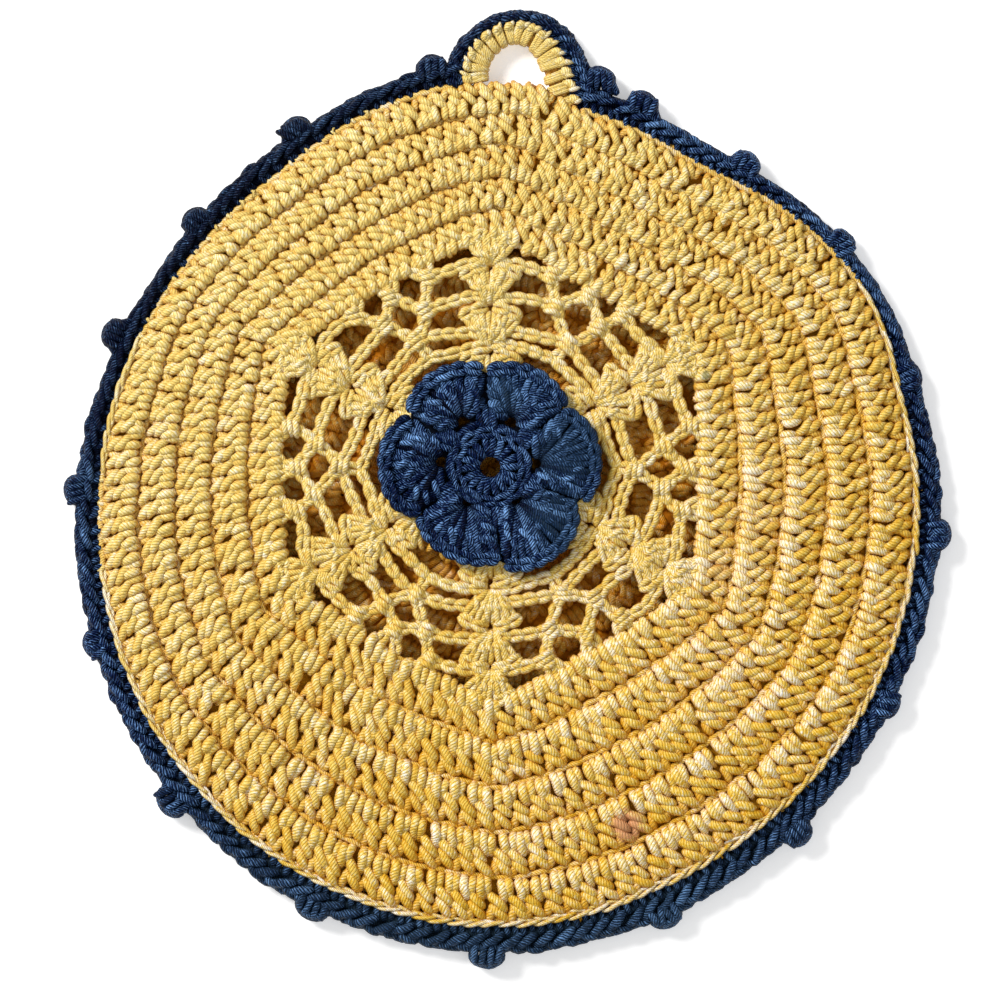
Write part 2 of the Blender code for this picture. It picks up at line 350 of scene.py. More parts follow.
def yarn_material(name, light, main, dark, pit, patch, middle, *, valley_share, gloss, rough, ply_contrast, streak,
                  fleck, fine, bump):
    """Plies wound round the yarn: the Yarn map gives turns along it and round it."""
    n = Nodes(name)
    apart = n.node("ShaderNodeSeparateXYZ", {0: n.node("ShaderNodeUVMap", uv_map="Yarn").outputs[0]})
    turns, round_it = apart.outputs[0], apart.outputs[1]
    place = n.node("ShaderNodeNewGeometry").outputs["Position"]
    phase = n.scaled(n.add(turns, round_it), PLIES, n.times(n.noise(place, 330.0, 2.0), 0.9))
    across = n.scaled(n.math("FRACT", phase), 2.0, -1.0)
    plump = n.math("SQRT", n.math("SUBTRACT", 1.02, n.times(across, across)))
    back_turned = n.times(n.math("SUBTRACT", turns, round_it), 1.6)
    fibre_at = n.node("ShaderNodeCombineXYZ", {0: n.times(phase, 3.2), 1: back_turned, 2: 0.0}).outputs[0]
    fibres = n.noise(fibre_at, fine, 4.0, Roughness=0.7)
    spots = n.noise(place, 1300.0, 3.0, Roughness=0.65)
    broad = n.noise(place, 30.0, 2.0)
    tone = n.node("ShaderNodeAttribute", attribute_name="tone").outputs["Fac"]
    deep = n.node("ShaderNodeAttribute", attribute_name="deep").outputs["Fac"]
    shade = n.add(n.scaled(fibres, streak, 0.3 - 0.5 * streak), n.scaled(spots, fleck, -0.5 * fleck))
    # painted highlight: each ply lighter at its crest
    shade = n.add(shade, n.scaled(plump, ply_contrast, -0.75 * ply_contrast))
    shade = n.add(n.add(shade, tone), n.scaled(broad, 0.3, -0.15))
    colour = n.ramp(shade, (0.0, dark), (middle, main), (middle + 0.42, light))
    # painted shade in the valleys between plies
    valley = n.math("POWER", n.math("SUBTRACT", 1.0, plump), 1.5)
    colour = n.mix(n.times(valley, valley_share), colour, dark)
    # painted shade: deep points towards the pit colour, and buried points (deep over 1) darker still; the worn patches
    # stay off the buried parts
    colour = n.mix(n.times(n.clamp(deep), 0.7), colour, pit)
    buried = n.clamp(n.math("SUBTRACT", deep, 1.0))
    colour = n.mix(n.times(buried, 0.85), colour, tuple(0.62 * c for c in pit))
    worn = n.ramp(n.add(n.times(broad, 0.6), n.times(spots, 0.4)), (0.55, (0, 0, 0)), (0.75, (0.3, 0.3, 0.3)))
    colour = n.mix(n.times(worn, n.math("SUBTRACT", 1.0, buried)), colour, patch)
    n.bump(n.add(plump, n.times(n.add(fibres, spots), 0.5)), bump)
    n.tree.links.new(n.scaled(fibres, 0.3, rough), n.shader.inputs["Roughness"])
    n.shader.inputs["Specular IOR Level"].default_value = gloss
    return n, colour, place, spots, deep


def round_mark(n, place, spots, x, y, radius, strength):
    """How far a point lies inside an uneven round mark on the cloth, from 0 to strength."""
    flat = n.node("ShaderNodeVectorMath", {0: place, 1: (1, 1, 0)}, operation="MULTIPLY").outputs[0]
    away = n.node("ShaderNodeVectorMath", {0: flat, 1: (x * MM, y * MM, 0)}, operation="DISTANCE").outputs["Value"]
    reach = n.scaled(spots, 0.9, n.math("DIVIDE", away, radius * MM))
    return n.ramp(reach, (0.75, (strength,) * 3), (1.0, (0, 0, 0)))


def marked(n, colour, place, spots, marks):
    """The colour with round marks on it, each (x, y, radius, strength, the mark's colour)."""
    for *mark, over in marks:
        colour = n.mix(round_mark(n, place, spots, *mark), colour, linear(*over))
    return colour


def yellow_material():
    n, colour, place, spots, deep = yarn_material(
        "yellow_yarn", linear(255, 253, 246), linear(233, 200, 84), linear(212, 158, 0), linear(208, 130, 0),
        linear(236, 184, 108), 0.38, valley_share=0.5, gloss=0.28, rough=0.25, ply_contrast=0.31, streak=1.8,
        fleck=1.3, fine=1.7, bump=0.18)
    x, y, z = n.node("ShaderNodeSeparateXYZ", {0: place}).outputs
    # painted light: paler towards the upper left, where the key light falls, on the yarn that lies on top and not on
    # its deep parts
    across = n.clamp(n.scaled(n.math("SUBTRACT", y, n.times(x, 0.6)), 5.5, 0.4))
    across = n.times(across, n.clamp(n.scaled(deep, -0.9, 1.0)))
    colour = n.mix(n.times(across, 0.44), colour, linear(235, 222, 154))
    # painted shade: red-brown far down inside the window, in its holes, but not on the back
    low_down = n.times(n.clamp(n.scaled(z, -1250.0, 5.25)), n.clamp(n.scaled(z, 2000.0, -2.6)))
    inside = n.times(low_down, round_mark(n, place, spots, *LACE_CENTRE, 104.0, 0.6))
    colour = n.mix(inside, colour, linear(222, 138, 8))
    # a brown stain on the lower right, and two faint ones
    colour = marked(n, colour, place, spots, (
        (24.8, -68.0, 7.6, 1.0, (200, 142, 94)), (41.3, 26.5, 2.2, 0.8, (140, 138, 92)),
        (44.0, -14.0, 5.0, 0.4, (200, 150, 90))))
    n.tree.links.new(colour, n.shader.inputs["Base Color"])
    return n.material


def blue_material():
    n, colour, place, spots, _ = yarn_material(
        "blue_yarn", linear(132, 180, 240), linear(0, 24, 72), linear(0, 3, 20), linear(0, 1, 9),
        linear(30, 64, 86), 0.45, valley_share=0.85, gloss=0.07, rough=0.3, ply_contrast=0.8, streak=2.6,
        fleck=0.6, fine=1.0, bump=0.26)
    x, y, _ = n.node("ShaderNodeSeparateXYZ", {0: place}).outputs
    # nearly black round the upper left of the border, greyer and greener along the bottom
    dark = n.clamp(n.scaled(n.math("SUBTRACT", y, x), 14.0, -0.75))
    glints = n.ramp(spots, (0.56, (0.8, 0.8, 0.8)), (0.70, (0.25, 0.25, 0.25)))
    colour = n.mix(n.times(dark, glints), colour, linear(1, 4, 22))
    colour = n.mix(n.times(n.clamp(n.scaled(y, -22.0, -1.0)), 0.34), colour, linear(50, 72, 84))
    # paler and greyer on the three petals that stand up most
    colour = marked(n, colour, place, spots, (
        (*mark, 0.34, (46, 74, 98)) for mark in ((13.5, 12.0, 17.0), (11.5, -3.5, 16.0), (-1.5, 22.5, 9.0))))
    n.tree.links.new(colour, n.shader.inputs["Base Color"])
    return n.material


yellow = yellow_material()
blue = blue_material()


def ground_material(name, dark, light, shaded=0.0):
    n = Nodes(name)
    place = n.node("ShaderNodeNewGeometry").outputs["Position"]
    spots = n.noise(place, 700.0, 4.0)
    colour = n.ramp(spots, (0.3, dark), (0.7, light))
    if shaded:
        colour = n.mix(round_mark(n, place, spots, *LACE_CENTRE, 30.0, shaded), colour, linear(58, 28, 2))
    n.tree.links.new(colour, n.shader.inputs["Base Color"])
    n.bump(spots, 0.4)
    n.shader.inputs["Roughness"].default_value = 0.9
    n.shader.inputs["Specular IOR Level"].default_value = 0.1
    return n.material


# painted shade: each ground is coloured darker than its yarn, for the shade in the gaps it closes; the yellow ground
# gets more painted shade about the lace's middle
ground = ground_material("yellow_ground", linear(150, 92, 4), linear(200, 142, 30), shaded=0.9)
dark_ground = ground_material("blue_ground", linear(0, 2, 10), linear(3, 9, 26))
under_ground = ground_material("back_ground", linear(140, 76, 4), linear(186, 116, 16))


# ---------------------------------------------------------------- stitches
# A double crochet seen from the front, in its own cell: u is along the round in stitches, v outward in
# rounds, h the height of the yarn's middle over the panel's underside in millimetres.
DOUBLE = (
    # strand: rows of (u, v, h)
    ((0.02, 0.06, 0.2), (0.0, 0.085, 1.3), (0.0, 0.155, 2.2), (0.02, 0.28, 2.3), (0.06, 0.41, 1.8), (0.10, 0.53, 1.0)),
    ((0.50, 0.06, 0.2), (0.49, 0.085, 1.2), (0.48, 0.155, 2.0), (0.45, 0.27, 1.9), (0.42, 0.39, 1.4),
     (0.40, 0.51, 0.8)),
    ((-0.66, 0.34, 0.9), (-0.54, 0.41, 1.7), (-0.26, 0.53, 2.1), (0.02, 0.64, 1.9), (0.18, 0.72, 1.0)),
    ((-0.58, 0.58, 0.9), (-0.42, 0.66, 1.6), (-0.14, 0.78, 1.8), (0.12, 0.885, 1.25), (0.24, 0.95, 0.3)),
    ((-0.46, 0.58, 0.7), (-0.52, 0.69, 1.25), (-0.58, 0.81, 1.3), (-0.62, 0.895, 0.85), (-0.64, 0.95, 0.2)),
)
STRAND_SIZES = (1.12, 1.02, 1.06, 1.06, 0.98)
# painted light: each stitch's base strands lighter and its V strands darker
STRAND_LIGHT_TONES = (0.10, 0.04, -0.03, -0.04, -0.06)


def dressed(place, starts, q_low, q_high, pitch, jitter=1.0):
    """Yields each strand of a round of stitches as (stitches, points, 3): starts are the stitches' bearings."""
    starts = np.asarray(starts, float)
    m = len(starts)
    _, pitch, jitter, low, high = (value[:, None] for value in floats(starts, pitch, jitter, q_low, q_high))
    lean = rng.normal(0, 0.05, (m, 1)) * jitter
    tall = rng.normal(0, 0.02, (m, 1)) * jitter

    def loosened(values, whole, each):
        values = values + rng.normal(0, whole, (m, 1)) * jitter
        return values + rng.normal(0, each, values.shape) * jitter

    for strand in DOUBLE:
        table = np.array(strand)
        u = loosened(table[:, 0] + lean, 0.05, 0.035)
        v = loosened(table[:, 1] + tall, 0.014, 0.012)
        h = loosened(table[:, 2], 0.10, 0.06)
        points = place(starts[:, None] + u * pitch, low + v * (high - low), h)
        # with each point's painted shade, more the lower it lies
        yield points, np.clip((1.8 - h) / 1.4, 0, 1)


ROUNDS = 5
ROUND_STITCHES = (100, 112, 126, 138, 150)
BAND_ROUND = (DISC_REACH - LACE_EDGE) / ROUNDS


def tones(count, spread=0.07):
    return rng.normal(0, spread, count)


def stretched(bearings):
    """Stitches stand closer together at the disc's top than at its bottom."""
    return bearings + np.degrees(0.1 * np.cos(np.radians(bearings)))


def looseness(bearings, k):
    """From 0 to 1: towards the upper right, and inside at the lower left, the rounds run into each other."""
    upper = np.clip(1.3 - np.abs((bearings - 66 + 180) % 360 - 180) / 30, 0, 1)
    lower = np.clip(1.2 - np.abs(bearings % 360 - 232) / 34, 0, 1) * (0.9, 0.8, 0.5, 0.0, 0.0)[k]
    return upper + lower


def front_rounds():
    made = []
    for k, count in enumerate(ROUND_STITCHES):
        yarn = Yarn(f"front_round_{k + 1}", sides=6, step=0.75)
        low = LACE_EDGE + BAND_ROUND * k
        pitch = 360 / count
        starts = stretched(np.arange(count) * pitch + rng.normal(0, 0.05, count) * pitch + k * 1.3)
        wide = 1 - 0.1 * np.sin(np.radians(starts))
        loose = looseness(starts, k)
        strands = dressed(front, starts, low - 0.9 * loose, low + BAND_ROUND + 0.2 * loose, pitch=pitch * wide,
                          jitter=1 + 0.9 * loose)
        for size, pale, (points, deep) in zip(STRAND_SIZES, STRAND_LIGHT_TONES, strands):
            # painted light: the strands' light tones grow with the cosine of the bearing, most towards the right
            yarn.lay(points, size * (wide - 0.05) * rng.uniform(0.93, 1.08, len(points)), deep=deep,
                     tone=tones(len(points)) + pale * (0.75 + 0.65 * np.cos(np.radians(starts) + 0.5)))
        # the chain it stands on, down in the groove, in painted shade that is lighter where the rounds run loose
        at = stretched(np.linspace(0, 360, count + 1)[:, None] + np.array([-0.1, 0.5, 1.1])[None] * pitch)
        shut = 0.25 + 0.25 * np.cos(np.radians(at) + 0.5)
        h = np.array([0.35, 0.7, 0.35]) + rng.normal(0, 0.1, at.shape) + 0.6 * looseness(at, k) + shut
        out = low + 0.9 * (k == 0) + rng.normal(0, 0.1, at.shape)
        yarn.lay(front(at, out, h), 0.72, tone=tones(count + 1, 0.1) - 0.05, deep=0.32 - 0.2 * looseness(at, k),
                 taper=0.7)
        made.append(yarn.make(yellow, "yellow_cotton"))
    return made


# ---------------------------------------------------------------- the lace window
LACE_FLOOR = PANEL_THICKNESS + GAP + FRONT_CROWN
# One sector's net of chains, in mm: x out from the lace's centre, y across from the sector's middle. The
# first letter says what a point is: r on a ray's side, k a knot, b the band's edge.
NET = {
    "r0": (24.0, 9.5), "r1": (27.0, 10.4), "r2": (33.0, 14.2), "r3": (39.3, 17.8),
    "k0": (26.4, 0.0), "k1": (30.9, 0.0), "k2": (36.2, 4.9), "k3": (41.2, 8.6), "k4": (40.8, 0.0),
    "b3": (45.0, 10.6), "b4": (44.8, 6.0), "b5": (44.8, 1.9),
}
CHAINS = (
    # mirrored across the sector's middle too
    ("r0", "k0"), ("r1", "k1"), ("k0", "k1"), ("r2", "k2"), ("k1", "k2"), ("r3", "k3"), ("k2", "k3"), ("k2", "k4"),
    ("k3", "b3"), ("k3", "b4"), ("k4", "b5"),
)
HOLES = (14.8, 24.4, 33.0, 41.2)            # the shells' holes, out along each ray


def lace_point(middle, x, y, h):
    x, y, h = floats(x, y, h)
    out = directions(middle)
    return raised(LACE_CENTRE + x[..., None] * out + y[..., None] * np.array([-out[1], out[0]]), LACE_FLOOR + h)


def chain(yarn, line, width=1.3, size=0.80, links=None, lift=0.35, tone=0.0):
    """A crochet chain along a line of points in mm: each link is two strands that part and close in the next."""
    along = distances(line)
    links = links or max(1, round(along[-1] / 3.0))
    length = along[-1] / links
    starts = np.arange(links) * length
    # of each strand's points: how far on in links, how far aside, how high
    shape = np.array([
        (-0.15, 0.10, -0.7), (0.12, 0.75, 0.0), (0.55, 0.95, 1.0), (0.95, 0.45, 0.7), (1.25, 0.12, -0.5)])
    for hand in (-1, 1):
        at = starts[:, None] + length * (shape[:, 0] + rng.normal(0, 0.04, (links, 5)))
        inside = np.clip(at, -0.3, along[-1] + 0.3)
        ahead = unit(along_line(inside + 0.4, along, line) - along_line(inside - 0.4, along, line))
        off = hand * width * (shape[:, 1] + rng.normal(0, 0.06, (links, 5))) / 1.5
        place = along_line(inside, along, line) + unit(np.cross(ahead, UP)) * off[..., None]
        place[..., 2] += lift * shape[:, 2] + rng.normal(0, 0.06, (links, 5))
        # painted shade on the lower points of each link
        yarn.lay(place, size * rng.uniform(0.92, 1.08, links), tone=tone + tones(links),
                 deep=np.clip(0.15 - 0.3 * shape[:, 2], 0, 1))


def knot(yarn, middle, x, y):
    """A single crochet over the chains: three wraps side by side."""
    slant, wide = rng.normal(0, 0.28), rng.uniform(0.9, 1.1)
    across = np.array([-1.9, -1.2, 0.0, 1.2, 1.9]) * wide
    for w in (-1.2, 0.0, 1.15):
        out = x + w + slant * across + rng.normal(0, 0.1, 5)
        over = y + across * rng.uniform(0.85, 1.05)
        h = np.array([0.6, 2.0, 2.75, 2.1, 0.7]) + rng.normal(0, 0.1)
        yarn.lay(lace_point(middle, out, over, h), 0.76, tone=tones(1) + 0.08)


def net(yarn, middle):
    for hand in (-1, 1):
        at = {name: np.array([x, y * hand]) + rng.normal(0, 0.3 if name[0] == "r" else 0.6, 2)
              for name, (x, y) in NET.items()}
        if hand == 1:
            for name in ("k0", "k1", "k4"):
                at[name] = last[name]
        last = at
        for start, end in CHAINS:
            if hand == 1 and (start, end) == ("k0", "k1"):
                continue
            a, b = at[start], at[end]
            t = np.linspace(0, 1, 7)
            bow = rng.normal(0, 0.45) * np.sin(np.pi * t)
            x, y = a[0] + (b - a)[0] * t + bow, a[1] + (b - a)[1] * t + bow * 0.3
            h = 1.5 + 0.25 * np.sin(np.pi * t) - (0.4 * t if end[0] == "b" else 0) + rng.normal(0, 0.1)
            if start[0] == "r":
                # on down the side of the ray's shell
                x, y, h = np.append(a[0] - 1.7, x), np.append(a[1] + 2.9 * hand, y), np.append(1.6, h)
            chain(yarn, lace_point(middle, x, y, h), tone=0.03, width=1.2 * rng.uniform(0.85, 1.05))
        for name in ("k2", "k3") + (("k1", "k4") if hand == -1 else ()):
            knot(yarn, middle, *at[name])


def shells(yarn, ray):
    """Fans of five stitches stacked out along a ray, each out of a hole at the top of the one before."""
    for hole in HOLES:
        long = 10.0 if hole < 40 else 8.6
        for k in range(5):
            turn = math.radians((k - 2) * 17.5 + rng.normal(0, 2.2))
            reach = (8.1 if k == 2 else long - 0.25 * abs(k - 2)) + rng.normal(0, 0.15)
            t = np.array([0.08, 0.2, 0.38, 0.56, 0.74, 0.9, 1.0])
            wind = np.pi * (1.25 * t + rng.uniform(-0.1, 0.1))
            for hand in (-1, 1):
                sway = hand * 0.66 * np.cos(wind) * np.clip(t * 3, 0.35, 1)
                x = hole + 0.35 + reach * t * math.cos(turn) - sway * math.sin(turn)
                y = reach * t * math.sin(turn) + sway * math.cos(turn)
                h = np.array([0.1, 1.45, 2.0, 2.15, 2.1, 1.6, 0.7]) + hand * 0.3 * np.sin(wind) + rng.normal(0, 0.05, 7)
                # painted shade on the stitches' lower parts
                yarn.lay(lace_point(ray, x, y, h), 0.80 * rng.uniform(0.92, 1.06), tone=tones(1) + 0.03,
                         deep=np.clip((1.3 - h) / 1.2, 0, 1), taper=0.5)
            # the yarn's wrap round the stitch, half way up
            at, slant = 0.5 + rng.normal(0, 0.06), np.array([-1.0, -0.45, 0.1, 0.6, 1.0])
            x = hole + 0.35 + (reach * at + 1.3 * slant) * math.cos(turn) - 1.15 * slant * math.sin(turn)
            y = (reach * at + 1.3 * slant) * math.sin(turn) + 1.15 * slant * math.cos(turn)
            yarn.lay(lace_point(ray, x, y, np.array([1.4, 2.45, 2.75, 2.4, 1.4])), 0.70, tone=tones(1) + 0.05)
        # the stitches' tops, a chain down each side of the fan's end
        for hand in (-1, 1):
            turns = np.radians(hand * np.array([5.0, 17.0, 29.0, 41.0]))
            x, y = hole + (long - 0.7) * np.cos(turns), (long - 0.7) * np.sin(turns)
            chain(yarn, lace_point(ray, x, y, np.array([1.4, 1.9, 2.0, 1.4])), tone=0.04, links=2, width=1.3)


def lace():
    yarn = Yarn("lace", sides=6, step=0.75)
    for sector in range(6):
        net(yarn, 60 * sector)
        shells(yarn, 60 * sector + 30)
    # the round under the flower
    starts = np.arange(30) * 12.0
    for points, deep in dressed(front, starts, 12.5, 22.5, pitch=12.0):
        yarn.lay(points, 0.74, tone=tones(len(points)) - 0.05, deep=deep)
    return yarn.make(yellow, "yellow_cotton")


CELLS = 84                                  # the front ground's openings are whole cells of its grid
PER_CELL = 4
NET_FROM = 21.0                             # flat radius where the net's openings begin


def sheet_mesh(name, place, bearings, qs, material, open_cell=None, h=1.0):
    """A thin sheet over rings q and bearings, with open cells left out."""
    grid = place(bearings[None, :], np.asarray(qs, float)[:, None], h) * MM
    rows, columns = grid.shape[:2]
    faces = [
        (r * columns + c, (r + 1) * columns + c, (r + 1) * columns + (c + 1) % columns, r * columns + (c + 1) % columns)
        for r in range(rows - 1) for c in range(columns)
        if not (open_cell and open_cell(r, c))
    ]
    mesh = bpy.data.meshes.new(name)
    mesh.from_pydata([tuple(p) for p in grid.reshape(-1, 3)], [], faces)
    mesh.polygons.foreach_set("use_smooth", np.ones(len(faces), bool))
    mesh.update()
    mesh.materials.append(material)
    piece = add(name, mesh)
    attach(piece, "root")
    return piece


def front_ground():
    """The panel's ground: what closes the gaps between strands. It's open under the net and at the shells' holes."""
    corner = 1 + HEX_CORNER * 30 / LACE_EDGE * (1 / math.cos(math.radians(30)) - 1)
    slits = [(hole / corner - 0.5, hole / corner + 0.7) for hole in HOLES[1:]]
    first = LACE_EDGE + 1.8
    ends = sorted([3.0, 12.0, NET_FROM, 27.0, 33.5, 37.0, 41.0, first, *(end for slit in slits for end in slit)])
    qs = ends + list(np.linspace(first, DISC_REACH - 1.9, 16)[1:])
    columns = CELLS * PER_CELL
    bearings = np.arange(columns) * 360 / columns

    def is_open(row, column):
        low, high = qs[row], qs[row + 1]
        from_ray = abs(column % (columns // 6) - columns // 12)
        if low >= LACE_EDGE or high <= NET_FROM:
            return False
        if any(low >= start - 1e-6 and high <= end + 1e-6 for start, end in slits) and from_ray < 1.5:
            return True
        return from_ray > 0.9 * PER_CELL

    return sheet_mesh("front_ground", front, bearings, qs, ground, is_open, h=0.35)


# ---------------------------------------------------------------- back panel
BACK_ROUNDS = 10
BACK_PER_ROUND = 14


def back_rounds():
    made = []
    for name, rounds in (("back_rounds_inner", range(0, 7)), ("back_rounds_outer", range(7, 10))):
        yarn = Yarn(name, sides=5, step=1.05)
        for k in rounds:
            count = BACK_PER_ROUND * (k + 1)
            pitch = 360 / count
            low = DISC_REACH * k / BACK_ROUNDS + 0.6 * (k == 0)
            high = DISC_REACH * (k + 1) / BACK_ROUNDS
            starts = np.arange(count) * pitch + rng.normal(0, 0.04, count) * pitch

            def flat(b, q, h):
                # both faces show, so the strands lie about the middle of the thickness
                return back(-b, q, np.maximum(PANEL_THICKNESS - 0.7 - 0.5 * np.asarray(h), 1.04))

            for size, (points, _) in zip(STRAND_SIZES, dressed(flat, starts, low, high, pitch=pitch)):
                # painted shade on the back's upper side, under the front panel; deep over 1 gives the darker buried
                # shade
                yarn.lay(points, 0.92 * size * rng.uniform(0.94, 1.06, len(points)), tone=tones(len(points)) - 0.05,
                         deep=np.clip((points[..., 2] - 1.0) / 0.4, 0, 2))
        made.append(yarn.make(yellow, "yellow_cotton"))
    return made


# ---------------------------------------------------------------- edging
EDGE_STITCHES = 152
BORDER_START_DEG = 96.1
BORDER_END_DEG = 440.0
BORDER_THICKNESS = 5.0
BORDER_MIDDLE = BORDER_THICKNESS / 2
PICOTS = (
    # bearing_deg, reach
    (-4.4, 93.0), (17.4, 90.6), (37.9, 91.0), (55.0, 89.2), (71.4, 90.8), (77.8, 93.4), (100.1, 95.2), (119.8, 92.6),
    (138.1, 90.9), (156.9, 92.6), (178.4, 93.4), (198.9, 94.3), (221.6, 97.4), (244.1, 97.2), (267.2, 97.9),
    (290.7, 95.4), (311.1, 94.9), (331.9, 92.6),
)


def border(bearing, t, z):
    """A point of the border: t is 0 at the panels' rim and 1 at the border's outer edge."""
    bearing, t, z = floats(bearing, t, z)
    radius = rim(bearing) + GAP + t * (rim(bearing, RIM_BORDER) - GAP)
    return raised(directions(bearing) * radius[..., None], z)


def spread(table, count, u=0.05, v=0.04, h=0.08):
    """A strand's table repeated, each a little different: three arrays of (count, points)."""
    table = np.array(table)
    n = len(table)
    return (table[:, 0] + rng.normal(0, u, (count, 1)) + rng.normal(0, u * 0.5, (count, n)),
            table[:, 1] + rng.normal(0, v, (count, 1)) + rng.normal(0, v * 0.5, (count, n)),
            table[:, 2] + rng.normal(0, h, (count, n)))


# u along the edge in stitches, t outward across the border, z in mm; the lower face mirrors the upper
EDGE_STRANDS = (
    # size, rows of (u, t, z)
    (0.92, ((-0.68, 0.90, 3.2), (-0.36, 0.84, 4.05), (0.02, 0.70, 4.45), (0.38, 0.55, 4.2), (0.58, 0.46, 3.3))),
    (0.80, ((-0.20, 0.72, 3.0), (0.05, 0.88, 3.75), (0.40, 0.98, 3.7), (0.75, 0.96, 3.2), (0.95, 0.88, 2.6))),
    (0.74, ((-0.30, -0.10, 3.2), (-0.28, 0.06, 3.75), (-0.22, 0.26, 3.9), (-0.14, 0.50, 3.2))),
    (0.70, ((0.20, -0.10, 3.1), (0.22, 0.06, 3.6), (0.28, 0.26, 3.8), (0.36, 0.50, 3.1))),
)
EDGE_OUTER = ((-0.62, 0.80, 2.5), (-0.25, 0.97, 2.5), (0.25, 0.97, 2.5), (0.62, 0.80, 2.5))


def edging_pieces():
    upper, lower = Yarn("edging_upper", sides=6, step=0.8), Yarn("edging_lower", sides=6, step=1.0)
    pitch = 360 / EDGE_STITCHES
    starts = np.arange(BORDER_START_DEG + pitch / 2, BORDER_END_DEG - pitch / 3, pitch)
    slack = np.clip(1.3 - np.abs(starts - 150) / 50, 0, 1)      # the upper left's stitches are pulled long
    fat = 0.96 - 0.10 * np.cos(np.radians(starts)) - 0.10 * np.sin(np.radians(starts))
    m = len(starts)
    for yarn, mirrored in ((upper, False), (lower, True)):
        for size, table in EDGE_STRANDS:
            u, t, z = spread(table, m)
            u = u * (1 + 0.5 * slack[:, None])
            if mirrored:
                z = BORDER_THICKNESS + 0.45 - z
            size = size * fat * (1 - 0.1 * slack) * rng.uniform(0.93, 1.07, m)
            # painted shade, more the nearer a point lies to the border's middle height
            yarn.lay(border(starts[:, None] + u * pitch, t, z), size, tone=tones(m, 0.06),
                     deep=np.clip(np.abs(z - BORDER_MIDDLE) * -0.5 + 1.0, 0, 1) * 0.7)
    u, t, z = spread(EDGE_OUTER, m)
    lower.lay(border(starts[:, None] + u * pitch, t, z), 0.85, tone=tones(m, 0.06))
    for bearing, reach in PICOTS:
        picot(upper, bearing, reach, 1.42 if 210 < bearing < 300 else 1.18)
    return [upper.make(blue, "blue_cotton"), lower.make(blue, "blue_cotton")]


def picot(yarn, bearing, reach, wide):
    """A knob of three chains closed on itself: rings of yarn about its middle, with strands over it."""
    out = directions(bearing)
    along = np.array([-out[1], out[0]])
    middle = out * (reach - 2.15)

    def at(x, y, z):
        x, y, z = floats(x, y, z)
        return raised(middle + x[..., None] * along + y[..., None] * out, z)

    def strand(x, y, z, size=0.85):
        yarn.lay(at(x, y, z), size, tone=tones(1, 0.06))

    wide, lean = wide * rng.uniform(0.94, 1.06), rng.normal(0, 0.25)
    turn = np.radians(np.linspace(-35, 215, 10))
    for z, ring in ((3.9, 1.6), (2.8, 2.05), (1.6, 1.6)):
        wobble = rng.normal(0, 0.08, 10)
        strand(np.cos(turn) * (ring + 0.2) * wide, np.sin(turn) * ring - 0.35 + wobble,
               z + 0.3 * np.cos(turn) + rng.normal(0, 0.08, 10), 0.84)
    for x in (-1.8, -0.6, 0.6, 1.8):
        for top in (1, -1):
            z = 2.75 + top * np.array([1.1, 1.8, 2.05, 1.7, 0.9])
            strand(x * wide + (lean + rng.normal(0, 0.15)) * np.array([-2, -1, 0, 1, 2]),
                   np.array([-2.5, -1.3, -0.1, 1.0, 1.75]) - 0.12 * x * x, z, 0.80)
    for side in (-1, 1):
        for z in (3.6, 2.0):
            strand(side * (np.array([4.3, 3.6, 2.8, 2.2]) + rng.normal(0, 0.1)), np.array([-2.6, -2.1, -1.0, 0.3]),
                   z + rng.normal(0, 0.1, 4))
    # a dark strand in the picot's middle, in painted shade
    yarn.lay(at(np.array([-1.2, 0, 1.2]), np.array([0.0, 0.2, 0.0]), 2.75), 1.1, tone=-0.2, deep=0.6)


# ---------------------------------------------------------------- rim rope and spikes of the panel's last round
ROPE_FROM, ROPE_TO = 191.0, 392.0
TOP_ROPE = 157.0, 176.0
SPIKES_FROM, SPIKES_TO = 103.0, 192.0


